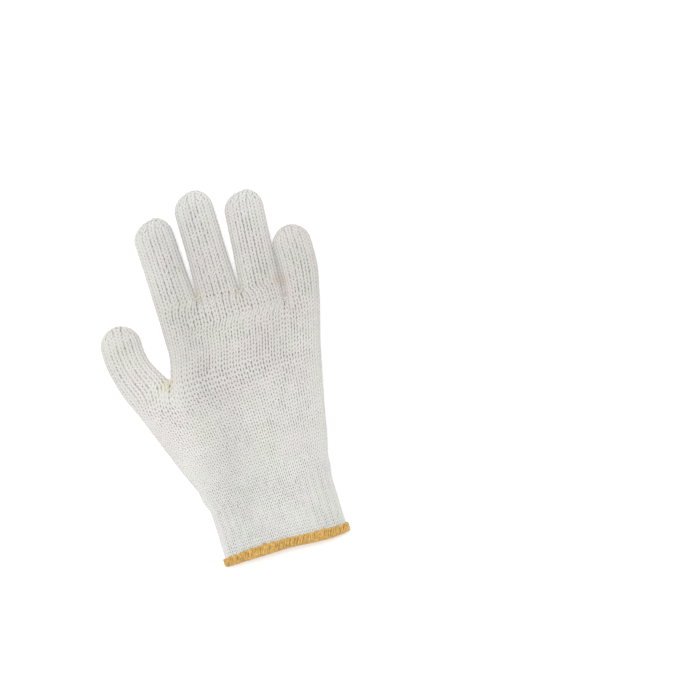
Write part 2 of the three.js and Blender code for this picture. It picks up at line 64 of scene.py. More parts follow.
# the palm from wrist to knuckles: at, left edge's up and across, right edge's up and across, thick
LOWER = [(0, 0, -0.42, 0, 0.397, 0.8), (0.2, 0.106, -0.471, 0.115, 0.43, 0.88),
         (0.4, 0.212, -0.517, 0.23, 0.457, 0.95), (0.6, 0.318, -0.562, 0.345, 0.486, 1),
         (0.8, 0.424, -0.607, 0.46, 0.516, 1), (1, 0.53, -0.653, 0.575, 0.547, 0.98)]
UPPER = [(0, 0.62, -0.388, 0.575, 0.547, 0.98), (0.5, 0.735, -0.356, 0.705, 0.588, 0.95),
         (1, 0.84, -0.353, 0.833, 0.63, 0.9)]
KNUCKLE = [(0, 0.84, -0.353, 0.867, 0.422, 0.9), (0.5, 0.912, -0.353, 0.917, 0.426, 0.87),
           (1, 0.984, -0.353, 0.967, 0.431, 0.84)]
# length, lean, bow, width, apart on the left, apart on the right
STALLS = {
    "index": (58.5, -0.05, 0.0, 1.01, 0, 1),
    "middle": (69.0, 0.02, 0.0, 0.99, 1, 1),
    "ring": (62.5, 0.15, -0.005, 0.99, 1, 1),
    "little": (47.0, 0.122, 0.032, 0.96, 1, 0),
    "thumb": (49.0, -0.37, -0.11, 1.02, 0, 1),
}
FINGERS = ["index", "middle", "ring", "little"]
# how far the very tip leans towards the little finger's side
TIP_LEAN = {"index": 3.8, "middle": 2.4, "ring": 2.8, "little": 0.2, "thumb": 0.0}
# across the cuff, the hem's rise, its height against the middle's
HEM_TABLE = np.array([(-42, 0.2, 0.74), (-36, 0.5, 0.84), (-30, 0.6, 0.97), (-20, 0.65, 1.0),
                      (-10, 0.75, 1.05), (0, 0.85, 1.0), (8, 0.5, 0.96), (14, -0.2, 0.93),
                      (20, -0.6, 1.0), (27, -1.0, 1.04), (33, -0.8, 0.94), (42, 0.1, 0.72)])


# The glove's skin, as sections in the source's axes
def smoothed_table(table, samples=141, reach=7):
    """The table's columns as smooth lines over its first column."""
    xs = np.linspace(table[0, 0], table[-1, 0], samples)
    kernel = np.hanning(2 * reach + 1)
    kernel /= kernel.sum()
    columns = [xs]
    for k in range(1, table.shape[1]):
        line = np.interp(xs, table[:, 0], table[:, k])
        columns.append(np.convolve(np.pad(line, reach, mode="edge"), kernel, "valid"))
    return np.stack(columns, -1)


HEM_SMOOTH = smoothed_table(HEM_TABLE)


def clamp(t):
    return min(1.0, max(0.0, t))


def smooth(t):
    return clamp(t) ** 2 * (3 - 2 * clamp(t))


def smooth_array(t):
    t = np.clip(t, 0, 1)
    return t * t * (3 - 2 * t)


def mix(a, b, t):
    return a + (b - a) * t


def unit(vectors):
    return vectors / np.maximum(np.linalg.norm(vectors, axis=-1), 1e-9)[..., None]


def value(table, column, at):
    """A smooth curve through one column of a table, over its first column."""
    xs = [row[0] for row in table]
    ys = [row[column] for row in table]
    last = len(table) - 1
    k = 0
    while k < last - 1 and at > xs[k + 1]:
        k += 1

    def slope(i):
        a, b = max(0, i - 1), min(last, i + 1)
        return (ys[b] - ys[a]) / (xs[b] - xs[a])

    step = xs[k + 1] - xs[k]
    t = clamp((at - xs[k]) / step)
    rise = ys[k + 1] - ys[k]
    bend = (1 - t) * (slope(k) * step - rise) - t * (slope(k + 1) * step - rise)
    return mix(ys[k], ys[k + 1], t) + t * (1 - t) * bend


def span(left, right, thickness, squareness, floor=0.0, full=1.0):
    """One flattened tube section: a function of the face and the shares round that face."""
    left, right = np.array(left, float), np.array(right, float)
    half = np.linalg.norm(right - left) / 2
    rise = (thickness - FOLD) * full
    belly = FOLD * UNDER_FULLNESS * full
    floor = mix(FOLD, floor, full)
    angle = np.linspace(0, np.pi, SECTION_SAMPLES)
    power = 2 / squareness
    across = -np.sign(np.cos(angle)) * np.abs(np.cos(angle)) ** power
    lift = np.clip(np.sin(angle), 0, 1) ** power
    faces = []
    for z in (FOLD + rise * lift, np.maximum(floor, FOLD - belly * lift)):
        run = np.concatenate([[0], np.cumsum(np.hypot(np.diff(across) * half, np.diff(z)))])
        faces.append((run, z))

    def at(face, share):
        run, z = faces[face]
        s = np.clip(share, 0, 1) * run[-1]
        x = (np.interp(s, run, across) + 1) / 2
        plan = left + (right - left) * x[:, None]
        return np.column_stack([plan, np.interp(s, run, z)])

    return at


def splitting(edges, stages):
    """A row that parts into tubes. edges: (plan, wale). stages: the sections, each (from edge,
    to edge, thickness, squareness), and how far the row has gone over to them."""
    laid = []
    for sections, share in stages:
        parts = []
        for a, b, thickness, squareness in sections:
            section = span(edges[a][0], edges[b][0], thickness, squareness)
            parts.append((edges[a][1], edges[b][1], section))
        laid.append((parts, share))

    def row(face, wales):
        out = None
        for parts, share in laid:
            here = np.zeros((len(wales), 3))
            for i, (first, last, section) in enumerate(parts):
                low = wales >= first if i else np.ones(len(wales), bool)
                high = wales < last if i + 1 < len(parts) else np.ones(len(wales), bool)
                inside = low & high
                here[inside] = section(face, (wales[inside] - first) / (last - first))
            out = here if out is None else out + (here - out) * share
        return out

    return row


def split_below(distance, reach):
    """How far the cloth has parted at a distance below a crotch."""
    t = clamp(1 - distance / reach)
    return 1 - math.sqrt(1 - t * t)


def plan_point(across, up):
    return np.array([across * PALM_WIDTH, CUFF_LENGTH + up * PALM_LENGTH])


def edges_of(table, at):
    left = plan_point(value(table, 2, at), value(table, 1, at))
    right = plan_point(value(table, 4, at), value(table, 3, at))
    return left, right, value(table, 5, at)


CROTCHES = [plan_point(-0.09, 1.0), plan_point(0.172, 0.975)]
LITTLE_CROTCH = plan_point(0.422, 0.867)
THUMB_CROTCH = edges_of(UPPER, 0)[0]
# wales on one face of the whole palm, of the index to ring fingers, and of all four fingers
ALL, BAND, HAND = 5 * WALES, 3 * WALES, 4 * WALES
# how far the three fingers have parted where the little finger's root ends
BAND_SHARE = 5 / 8
BAND_STALLS = [(i, i + 1, FINGER_THICKNESS, FINGER_SQUARENESS) for i in range(3)]
LITTLE_STALL = (3, 4, FINGER_THICKNESS, FINGER_SQUARENESS)


def palm_section(thick):
    return PALM_THICKNESS * thick, PALM_SQUARENESS


def lower_row(at):
    left, right, thick = edges_of(LOWER, at)
    a, b, _ = edges_of(LOWER, 0)
    parting = a + (b - a) * (WALES / ALL)
    parting = parting + (THUMB_CROTCH - parting) * at
    edges = [(left, 0), (parting, WALES), (right, ALL)]
    share = split_below(THUMB_CROTCH[1] - parting[1], THUMB_REACH * THUMB_CREASE)
    return splitting(edges, [
        ([(0, 2, *palm_section(thick))], 1),
        ([(0, 1, THUMB_THICKNESS, FINGER_SQUARENESS), (1, 2, *palm_section(thick))], share),
    ])


def band_partings(share):
    a, b, _ = edges_of(UPPER, 0)
    out = []
    for i, crotch in enumerate(CROTCHES):
        start = a + (b - a) * ((i + 1) * WALES / HAND)
        out.append(start + (crotch - start) * share)
    return out


def band_split(share):
    below = CROTCHES[1][1] - edges_of(UPPER, 0)[0][1]
    return split_below((1 - share) * below, FINGER_REACH * CREASE)


def upper_row(at):
    left, right, thick = edges_of(UPPER, at)
    a, b, _ = edges_of(UPPER, 0)
    little = a + (b - a) * (BAND / HAND)
    little = little + (LITTLE_CROTCH - little) * at
    plans = [left, *band_partings(at * BAND_SHARE), little, right]
    edges = [(plan, (i + 1) * WALES) for i, plan in enumerate(plans)]
    distance = (1 - at) * (LITTLE_CROTCH[1] - a[1])
    return splitting(edges, [
        ([(0, 4, *palm_section(thick))], 1),
        ([(0, 3, *palm_section(thick)), LITTLE_STALL], split_below(distance, FINGER_REACH * CREASE)),
        ([*BAND_STALLS, LITTLE_STALL], band_split(at * BAND_SHARE)),
    ])


def knuckle_row(at):
    left, right, thick = edges_of(KNUCKLE, at)
    right = right - np.array([STALL_GAP / 2 * smooth(at / CROTCH_ROW), 0])
    share = mix(BAND_SHARE, 1, at)
    plans = [left, *band_partings(share), right]
    edges = [(plan, (i + 1) * WALES) for i, plan in enumerate(plans)]
    return splitting(edges, [
        ([(0, 3, *palm_section(thick))], 1),
        (BAND_STALLS, band_split(share)),
    ])


def cuff_row(height):
    at = height / CUFF_LENGTH
    left = value(CUFF, 1, at) * CUFF_WIDTH / 2
    right = value(CUFF, 2, at) * CUFF_WIDTH / 2
    a, b, thick = edges_of(LOWER, 0)
    to_wrist = smooth((at - WRIST_START) / (1 - WRIST_START))
    left, right = mix(left, a[0], to_wrist), mix(right, b[0], to_wrist)
    floor = (THREAD + PIECE_GAP) * (1 - smooth((height - HEM_HEIGHT - PIECE_GAP) / (CUFF_LENGTH / 2)))
    thickness = mix(CUFF_THICKNESS * value(CUFF, 3, at), PALM_THICKNESS * thick, to_wrist)
    section = span([left, height], [right, height], thickness, PALM_SQUARENESS, floor)
    return lambda face, wales: section(face, wales / ALL)


def hem_rise(x, y):
    """How far the wavy hem lifts the cloth, which dies out halfway up the cuff."""
    rise = np.interp(x, HEM_SMOOTH[:, 0], HEM_SMOOTH[:, 1])
    return rise * (1 - smooth_array((y - HEM_HEIGHT) / (CUFF_LENGTH / 2)))


KNUCKLE_LEFT, KNUCKLE_RIGHT, _ = edges_of(KNUCKLE, 1)
KNUCKLE_RIGHT = KNUCKLE_RIGHT - np.array([STALL_GAP / 2, 0])
ROOTS = {
    "index": (KNUCKLE_LEFT, CROTCHES[0]),
    "middle": (CROTCHES[0], CROTCHES[1]),
    "ring": (CROTCHES[1], KNUCKLE_RIGHT),
    "little": (LITTLE_CROTCH, edges_of(UPPER, 1)[1]),
    "thumb": (edges_of(LOWER, 1)[0], THUMB_CROTCH),
}


def stall_at(name, t):
    """A stall's section at t, from 0 at its root to 1 where its tip starts to round off, and
    on to 2 at the very tip. Also gives how far the section has narrowed."""
    length, lean, bow, width, apart_left, apart_right = STALLS[name]
    thickness = THUMB_THICKNESS if name == "thumb" else FINGER_THICKNESS
    root_left, root_right = ROOTS[name]
    root = (root_left + root_right) / 2
    across = root_right - root_left
    root_half = np.linalg.norm(across) / 2
    across = across / np.linalg.norm(across)
    tip_half = FINGER_WIDTH * width / 2
    reach = FINGER_WIDTH * width * TIP_ROUND
    tip = root + np.array([lean * FINGER_WIDTH, length - reach])
    middle = (root + tip) / 2 + np.array([2 * bow * FINGER_WIDTH, 0])
    u = min(t, 1.0)
    centre = (1 - u) ** 2 * root + 2 * u * (1 - u) * middle + u * u * tip
    along = (1 - u) * (middle - root) + u * (tip - middle)
    along = along / np.linalg.norm(along)
    square = np.array([along[1], -along[0]])
    if t <= 1:
        side = across + (square - across) * smooth(2 * t)
        side = side / np.linalg.norm(side)
        parted = STALL_GAP / 2 * smooth(t / CROTCH_ROW)
        half = mix(root_half, tip_half, smooth(1.6 * t))
        full = narrow = 1.0
    else:
        angle = math.pi / 2 * (t - 1)
        centre = tip + along * math.sin(angle) * reach + square * TIP_LEAN[name] * (1 - math.cos(angle))
        side = square
        narrow = max(math.cos(angle), 1e-4)
        half = tip_half * narrow
        parted = STALL_GAP / 2 * narrow
        full = narrow ** TIP_FULLNESS
    left = centre + side * (parted * apart_left - half)
    right = centre + side * (half - parted * apart_right)
    section = span(left, right, thickness, FINGER_SQUARENESS, 0.0, full)
    return (lambda face, wales: section(face, wales / WALES)), narrow


# Grids over the skin
Q = 4                 # columns a wale
H = 2                 # rows a course
COURSE = 2.35         # pitch of the stalls' courses
FIRST_COURSE = 2.2    # height of the lowest course above the hem's edge
CUFF_COURSES, LOWER_COURSES, UPPER_COURSES, KNUCKLE_COURSES = 22, 29, 13, 6
HEEL_COURSES = 15     # the courses of the lower palm that are knit_heel
BODY_SAMPLES, TIP_SAMPLES = 41, 61


def grid(rows, first, last):
    """Points [face, row, column, 3] in the source's axes."""
    wales = np.linspace(first, last, (last - first) * Q + 1)
    return np.array([[row(face, wales) for row in rows] for face in (0, 1)])


def even(start, end, count):
    return [start + (end - start) * i / (count * H) for i in range(count * H + 1)]


def face_region(first, last, courses, row, start=0, end=1):
    rows = [row(at) for at in even(start, end, courses)]
    return dict(first=first, last=last, courses=courses, grid=grid(rows, first, last))


REGIONS = {
    "cuff": face_region(0, ALL, CUFF_COURSES, cuff_row, FIRST_COURSE, CUFF_LENGTH),
    "lower": face_region(0, ALL, LOWER_COURSES, lower_row),
    "upper": face_region(WALES, ALL, UPPER_COURSES, upper_row),
    "knuckle": face_region(WALES, WALES + BAND, KNUCKLE_COURSES, knuckle_row),
}


def stall_region(name, first):
    """Rows at even distances up the middle of the stall's upper face, over its round tip."""
    ts = np.concatenate([np.linspace(0, 1, BODY_SAMPLES), 1 + np.linspace(0, 1, TIP_SAMPLES)[1:]])
    middle = np.array([stall_at(name, t)[0](0, np.array([WALES / 2]))[0] for t in ts])
    run = np.concatenate([[0], np.cumsum(np.linalg.norm(np.diff(middle, axis=0), axis=1))])
    courses = int(round(run[-1] / COURSE))
    at = np.interp(np.linspace(0, run[-1], courses * H + 1), run, ts)
    rows, narrow = zip(*[stall_at(name, t) for t in at])
    REGIONS[name] = dict(first=first, last=first + WALES, courses=courses,
                         grid=grid(rows, 0, WALES), narrow=np.array(narrow))


stall_region("thumb", 0)
for i, name in enumerate(FINGERS):
    stall_region(name, (i + 1) * WALES)


def ribbed(points):
    """Every other wale of the cuff is drawn in by the elastic, least in its stretched middle."""
    out = points.copy()
    wales = np.linspace(0, ALL, ALL * Q + 1)
    wave = 0.5 - 0.5 * np.cos(np.pi * wales)
    for r in range(points.shape[1]):
        y = points[0, r, 0, 1]
        fade = smooth((y - HEM_HEIGHT) / RIB_FADE) * smooth((CUFF_LENGTH - y) / RIB_TOP_FADE)
        middle = (points[0, r, :, 2] + points[1, r, :, 2]) / 2
        for face in (0, 1):
            room = middle - points[face, r, :, 2]
            off = np.abs(points[face, r, :, 0] - RIB_MIDDLE) - RIB_FLAT
            sides = mix(RIB_LEAST, 1, smooth_array(off / RIB_SIDES))
            draw = np.minimum(RIB_SHOWN * sides * fade * wave, 0.25 * np.abs(room))
            out[face, r, :, 2] += np.sign(room) * draw
    out[..., 1] += hem_rise(out[..., 0], out[..., 1])
    return out


REGIONS["cuff"]["grid"] = ribbed(REGIONS["cuff"]["grid"])
# the cuff's top row is the palm's first row
REGIONS["cuff"]["grid"][:, -1] = REGIONS["lower"]["grid"][:, 0]

PATHS = {
    "thumb": ["cuff", "lower", "thumb"],
    "index": ["cuff", "lower", "upper", "knuckle", "index"],
    "middle": ["cuff", "lower", "upper", "knuckle", "middle"],
    "ring": ["cuff", "lower", "upper", "knuckle", "ring"],
    "little": ["cuff", "lower", "upper", "little"],
}
# the region whose end row holds the crotch at each of these wales
CROTCH_AT = {WALES: "lower", 2 * WALES: "knuckle", 3 * WALES: "knuckle", 4 * WALES: "upper"}


def relaxed(line, root, reach=9, fade_rows=22, fade_wales=2.2):
    """The thumb's wales with their bend at its root eased, most on the side away from the crotch."""
    kernel = np.hanning(2 * reach + 3)[1:-1]
    kernel /= kernel.sum()
    rows = np.arange(line.shape[1])
    near = 1 - smooth_array(np.abs(rows - root) / fade_rows)
    away = smooth_array((WALES - np.arange(line.shape[2]) / Q) / fade_wales)
    pad = ((0, 0), (reach, reach), (0, 0), (0, 0))
    wide = np.pad(line, pad, mode="reflect", reflect_type="odd")
    eased = sum(weight * wide[:, k:k + line.shape[1]] for k, weight in enumerate(kernel))
    return line + (eased - line) * near[None, :, None, None] * away[None, None, :, None]


EVEN_REACH = 5 * H      # rows over which the pitch is evened
CROTCH_WALES = 2.5      # how far from a crotch the courses keep their place


def stall_line(stall):
    """The rows of a stall's wales from the hem to its tip, and the row where each region ends."""
    first = REGIONS[stall]["first"]
    pieces, ends, total = [], {}, 0
    for k, name in enumerate(PATHS[stall]):
        region = REGIONS[name]
        c = (first - region["first"]) * Q
        piece = region["grid"][:, (1 if k else 0):, c:c + WALES * Q + 1]
        total += piece.shape[1]
        ends[name] = total - 1
        pieces.append(piece)
    return np.concatenate(pieces, axis=1), ends


def evened(length, kernel, held):
    """The rows' lengths along one wale at an even pitch. held: (row, how far it stays put)."""
    pad = len(kernel) // 2
    low = 2 * length[0] - length[pad:0:-1]
    high = 2 * length[-1] - length[-2:-pad - 2:-1]
    run = np.convolve(np.concatenate([low, length, high]), kernel, "valid")
    rows = np.arange(len(length))
    for row, near in held:
        bump = smooth_array(1 - np.abs(rows - row) / (1.6 * EVEN_REACH))
        run = run + (length[row] - run[row]) * bump * near
    return np.maximum.accumulate(np.clip(run, 0, length[-1]))


def slid_rows(stall):
    first = REGIONS[stall]["first"]
    kernel = np.bartlett(2 * EVEN_REACH + 3)[1:-1]
    kernel /= kernel.sum()
    line, ends = stall_line(stall)
    step = np.linalg.norm(np.diff(line, axis=1), axis=-1)
    run = np.concatenate([np.zeros_like(step[:, :1]), np.cumsum(step, axis=1)], axis=1)
    crotches = [(ends[name], wale) for wale, name in CROTCH_AT.items()
                if name in ends and wale in (first, first + WALES)]
    out = np.empty_like(line)
    rising = np.arange(line.shape[1]) * 1e-9
    for face in (0, 1):
        for col in range(line.shape[2]):
            length = run[face, :, col]
            held = [(row, 1 - smooth(abs(col / Q + first - wale) / CROTCH_WALES)) for row, wale in crotches]
            even_run = evened(length, kernel, held)
            for axis in range(3):
                out[face, :, col, axis] = np.interp(even_run, length + rising, line[face, :, col, axis])
    return relaxed(out, ends["lower"]) if stall == "thumb" else out


def even_courses():
    """Slides the rows along each wale, so that the courses keep an even pitch from the hem to
    the fingertips, and stay where they are at the crotches."""
    slid = {name: [] for name in REGIONS}
    for stall, path in PATHS.items():
        rows = slid_rows(stall)
        start = 0
        for name in path:
            count = REGIONS[name]["grid"].shape[1]
            slid[name].append((REGIONS[stall]["first"], rows[:, start:start + count]))
            start += count - 1
    for name, strips in slid.items():
        region = REGIONS[name]
        total = np.zeros_like(region["grid"])
        weight = np.zeros(region["grid"].shape[2])
        for first, strip in strips:
            c = (first - region["first"]) * Q
            total[:, :, c:c + WALES * Q + 1] += strip
            weight[c:c + WALES * Q + 1] += 1
        g = total / weight[None, None, :, None]
        for col in (0, -1):
            g[:, :, col] = g[:, :, col].mean(axis=0, keepdims=True)
        region["grid"] = g


even_courses()


def face_quads(w):
    """Quads over the points [2, rows, columns] of the upper and the under face."""
    top = np.stack([w[0, :-1, :-1], w[0, :-1, 1:], w[0, 1:, 1:], w[0, 1:, :-1]], -1)
    low = np.stack([w[1, :-1, :-1], w[1, 1:, :-1], w[1, 1:, 1:], w[1, :-1, 1:]], -1)
    return np.concatenate([top.reshape(-1, 4), low.reshape(-1, 4)])


# Weld the grids, so that the skin has one normal at each point
WELD = 0.02
points = np.concatenate([region["grid"].reshape(-1, 3) for region in REGIONS.values()])
_, keep, welded = np.unique(np.round(points / WELD).astype(np.int64), axis=0,
                            return_index=True, return_inverse=True)
welded = welded.reshape(-1)
SKIN = points[keep]
quads, start = [], 0
for region in REGIONS.values():
    count = region["grid"].size // 3
    region["id"] = welded[start:start + count].reshape(region["grid"].shape[:3])
    start += count
    quads.append(face_quads(region["id"]))
quads = np.concatenate(quads)
a, b, c, d = (SKIN[quads[:, i]] for i in range(4))
facing = np.cross(c - a, d - b)
NORMAL = np.zeros_like(SKIN)
for i in range(4):
    np.add.at(NORMAL, quads[:, i], facing)
NORMAL = unit(NORMAL)
for region in REGIONS.values():
    region["p"] = SKIN[region["id"]]
    region["n"] = NORMAL[region["id"]]


def ring_of(field):
    """Columns round the tube: the upper face from left to right, then the under face back."""
    out = np.concatenate([field[0], field[1][:, -2:0:-1]], axis=1)
    last = field.shape[2] - 1
    out[:, 0] = (field[0][:, 0] + field[1][:, 0]) / 2
    out[:, last] = (field[0][:, last] + field[1][:, last]) / 2
    return out


BELOW = {"lower": "cuff", "upper": "lower", "knuckle": "upper", "index": "knuckle",
         "middle": "knuckle", "ring": "knuckle", "little": "upper", "thumb": "lower"}


def extended(name):
    """The region's rings with a course of its neighbours' rows below and above."""
    region = REGIONS[name]
    first, last = region["first"], region["last"]
    uppers = [REGIONS[upper] for upper, lower in BELOW.items() if lower == name]
    uppers.sort(key=lambda upper: upper["first"])
    out = {}
    for key in ("p", "n"):
        field = region[key]
        below = field[:, :1].repeat(H, axis=1)
        above = field[:, -1:].repeat(H, axis=1)
        if name in BELOW:
            other = REGIONS[BELOW[name]]
            s = (first - other["first"]) * Q
            below = other[key][:, -1 - H:-1, s:s + (last - first) * Q + 1]
        elif key == "p":
            for k in range(H):
                below[:, k] = field[:, 0] - (field[:, 1] - field[:, 0]) * (H - k)
        for upper in uppers:
            s, e = ((upper[end] - first) * Q for end in ("first", "last"))
            above[:, :, s:e + 1] = upper[key][:, 1:1 + H]
        out[key] = ring_of(np.concatenate([below, field, above], axis=1))
    return out


def look(field, s, x):
    """Bilinear look-up in a ring field at courses s and wales x round the ring."""
    rows, cols = field.shape[:2]
    r = np.clip((s + 1) * H, 0, rows - 1.001)
    c = np.mod(x * Q, cols)
    r0, c0 = np.floor(r).astype(int), np.floor(c).astype(int) % cols
    fr, fc = (r - r0)[..., None], (c - np.floor(c))[..., None]
    c1 = (c0 + 1) % cols
    low = field[r0, c0] * (1 - fc) + field[r0, c1] * fc
    high = field[r0 + 1, c0] * (1 - fc) + field[r0 + 1, c1] * fc
    return low * (1 - fr) + high * fr


# Mesh helpers
ABOVE_FLOOR = 0.00002    # the lowest that a point of the cloth lies, in metres


def mesh_object(name, vertices, faces, material, uv=None):
    """vertices [n, 3] in the source's axes, faces [m, 4]"""
    me = bpy.data.meshes.new(name)
    v = (vertices + SHIFT) / 1000
    v[:, 2] = np.maximum(v[:, 2], ABOVE_FLOOR)
    me.vertices.add(len(v))
    me.vertices.foreach_set("co", v.astype(np.float32).ravel())
    me.loops.add(faces.size)
    me.loops.foreach_set("vertex_index", faces.astype(np.int32).ravel())
    me.polygons.add(len(faces))
    me.polygons.foreach_set("loop_start", np.arange(0, faces.size, faces.shape[1], dtype=np.int32))
    me.polygons.foreach_set("use_smooth", np.full(len(faces), True))
    me.update(calc_edges=True)
    if uv is not None:
        layer = me.uv_layers.new(name="yarn")
        layer.data.foreach_set("uv", uv.astype(np.float32).ravel())
    me.materials.append(material)
    ob = bpy.data.objects.new(name, me)
    bpy.context.scene.collection.objects.link(ob)
    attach(ob, "root")
    return ob


def tube(centres, normals, wide, thick, sides, closed):
    """A yarn through centres [n, 3], flattened along the normals. A yarn that isn't closed has
    open ends. Returns vertices, quads and UVs, with u in mm along the yarn and v once round it."""
    n = len(centres)
    if closed:
        tangent = np.roll(centres, -1, axis=0) - np.roll(centres, 1, axis=0)
    else:
        tangent = np.gradient(centres, axis=0)
    tangent = unit(tangent)
    across = unit(np.cross(tangent, normals))
    up = np.cross(across, tangent)
    phi = np.arange(sides) * 2 * np.pi / sides
    ring = (across[:, None] * (np.cos(phi)[None, :, None] * np.reshape(wide, (-1, 1, 1)))
            + up[:, None] * (np.sin(phi)[None, :, None] * np.reshape(thick, (-1, 1, 1))))
    vertices = (centres[:, None] + ring).reshape(-1, 3)
    count = n if closed else n - 1
    i = np.arange(count)[:, None]
    j = np.arange(sides)[None, :]
    i2, j2 = (i + 1) % n, (j + 1) % sides
    faces = np.stack([i * sides + j, i * sides + j2, i2 * sides + j2, i2 * sides + j], -1)
    step = np.linalg.norm(np.roll(centres, -1, axis=0) - centres, axis=1)
    run = np.concatenate([[0], np.cumsum(step)])
    u0, u1 = run[:count, None], run[1:count + 1, None]
    v0, v1 = j / sides, j / sides + 1 / sides
    corners = [np.broadcast_arrays(u, v) for u, v in ((u0, v0), (u0, v1), (u1, v1), (u1, v0))]
    uv = np.stack([np.stack(corner, -1) for corner in corners], -2)
    return vertices, faces.reshape(-1, 4), uv.reshape(-1, 2)


def joined(parts):
    vertices, faces, uvs, base = [], [], [], 0
    for v, f, uv in parts:
        vertices.append(v)
        faces.append(f + base)
        uvs.append(uv)
        base += len(v)
    return np.concatenate(vertices), np.concatenate(faces), np.concatenate(uvs)


# The knitted loops
MIDDLE = 1.12        # depth of the middle of the cloth under the skin
LOOP_HEIGHT = 0.92   # half the height of a loop, in courses
LOOP_BULGE = 0.235   # how far a loop's legs lean out, in wales
# how far the legs draw in towards the middle of their wale, in wales, by region
LOOP_PINCH = {"cuff": 0.0, "lower": 0.012, "upper": 0.016, "knuckle": 0.02, "index": 0.028,
              "middle": 0.026, "ring": 0.022, "little": 0.028, "thumb": 0.03}
LOOP_DEPTH = 0.5     # how far the legs stand out and the heads lie in
YARN_CLOSED = 0.272  # half width of the yarn, as a share of a wale, where the knit is closed
YARN_OPEN = 0.188    # and where it is stretched open
YARN_THICK = 0.56    # half thickness of the yarn
NARROWED = 0.93      # a course narrower than this share of its stall loses wales
MOST_OPEN = {"thumb": 0.52, "index": 0.72}    # stalls that are less stretched than the others
PATCH, WEB, RISE = 34, 22, 55    # patches of stretch, the tight web by the thumb, the heel
PITCH_LEAST, PITCH_MOST = 1.6, 4.3
rng = np.random.default_rng(7)


def waves(points, scale, phase):
    """A smooth field of about -1 to 1 over the source's axes, with waves of about scale mm."""
    k = 2 * math.pi / scale
    x, y = points[:, 0] * k, points[:, 1] * k
    return (np.sin(x + 0.7 * np.sin(0.8 * y + phase) + phase)
            + np.sin(0.9 * y + 0.8 * np.sin(0.7 * x + 2 * phase) + 1.7 * phase)) / 2


def openness(name, up, share, points):
    """How far the cloth is stretched open, 0 to 1: most in the middle of the fingers and palm."""
    region = REGIONS[name]
    wales = region["last"] - region["first"]
    off = np.abs(np.mod(share, wales) / wales * 2 - 1)
    patch = waves(points, PATCH, 0.6)
    if "narrow" in region:
        at = up / region["courses"]
        middle = np.clip((0.85 - off) / 0.55, 0, 1)
        tip = np.clip((0.88 - at) / 0.3, 0, 1)
        return MOST_OPEN.get(name, 1.0) * np.clip(0.2 + 0.85 * middle * tip + 0.2 * patch, 0, 1)
    if name == "cuff":
        return np.clip(0.5 + 0.3 * patch, 0, 1)
    rise = np.clip((points[:, 1] - CUFF_LENGTH) / RISE, 0, 1)
    middle = np.clip((1 - off) / 0.25, 0, 1)
    away = np.hypot(points[:, 0] - THUMB_CROTCH[0], points[:, 1] - THUMB_CROTCH[1])
    web = smooth_array(away / WEB)
    return np.clip((0.42 + 0.5 * rise) * (0.4 + 0.6 * middle) * web + 0.12 * patch, 0, 1)


def narrowing(region, s):
    """How narrow a course is at its middle s, and how many wales it keeps on a face."""
    wales = region["last"] - region["first"]
    if "narrow" not in region:
        return 1.0, wales
    narrow = float(np.interp(s * H, np.arange(len(region["narrow"])), region["narrow"]))
    if narrow < NARROWED:
        wales = max(1, int(2 * round((narrow * WALES - 1) / 2) + 1))
    return narrow, wales


def fitted(share, up, narrow, region):
    """Wale shares of a course on a round tip, moved so that the loop's height keeps its place."""
    wales = region["last"] - region["first"]
    rows = np.arange(len(region["narrow"]))
    there = np.maximum(np.interp(up * H, rows, region["narrow"]), 0.12)
    centre = np.where(share < wales, wales / 2, wales * 1.5)
    off = (share - centre) * np.clip(np.maximum(narrow, 1e-3) / there, 0.7, 1.6)
    return centre + np.clip(off, -wales / 2, wales / 2)


def wale_widths(field, up, share, step=0.25):
    ahead, behind = look(field, up, share + step), look(field, up, share - step)
    return np.linalg.norm(ahead - behind, axis=1) / (2 * step)


def stitches(name, courses, top_steps, under_steps=8, sides=5, even_over=9):
    """A closed ring of looped yarn for each course: the upper face's wales, then the under's."""
    region = REGIONS[name]
    fields = extended(name)
    span_wales = region["last"] - region["first"]
    kernel = np.ones(even_over) / even_over
    pad = even_over // 2
    parts = []
    for course in courses:
        s = course + 0.5
        narrow, face_count = narrowing(region, s)
        steps_top = np.arange(face_count * top_steps) / top_steps
        steps_low = face_count + np.arange(face_count * under_steps) / under_steps
        x = np.concatenate([steps_top, steps_low])
        whole = np.floor(x + 1e-9).astype(int)
        t = (x - whole - 0.5) * 2 * np.pi
        uneven = rng.normal(0, 1, (2 * face_count, 4))[whole % (2 * face_count)]
        height = LOOP_HEIGHT * (1 + 0.03 * uneven[:, 0])
        bulge = LOOP_BULGE * (1 + 0.12 * uneven[:, 1])
        along = x + bulge * np.sin(2 * t) - LOOP_PINCH[name] * np.sin(t)
        along = along + 0.012 * uneven[:, 2] * np.cos(t / 2)
        up = s + height * np.cos(t)
        lift = LOOP_DEPTH * -np.cos(2 * t) * (1 + 0.1 * uneven[:, 3])
        # wale share across this course's own section
        share = along * span_wales / face_count
        if face_count != span_wales or narrow < 0.999:
            share = fitted(share, up, narrow, region)
        skin = look(fields["p"], up, share)
        normal = unit(look(fields["n"], up, share))
        pitch = wale_widths(fields["p"], up, share) * span_wales / face_count
        pitch = np.clip(pitch, PITCH_LEAST, PITCH_MOST)
        pitch = np.convolve(np.concatenate([pitch[-pad:], pitch, pitch[:pad]]), kernel, "valid")
        wide = mix(YARN_CLOSED, YARN_OPEN, openness(name, up, share, skin))
        wide = wide * pitch * (1 + 0.035 * uneven[:, 1])
        thick = np.minimum(YARN_THICK, wide * 0.85)
        centre = skin - normal * (MIDDLE - lift)[:, None]
        parts.append(tube(centre, normal, wide, thick, sides, True))
    return joined(parts)


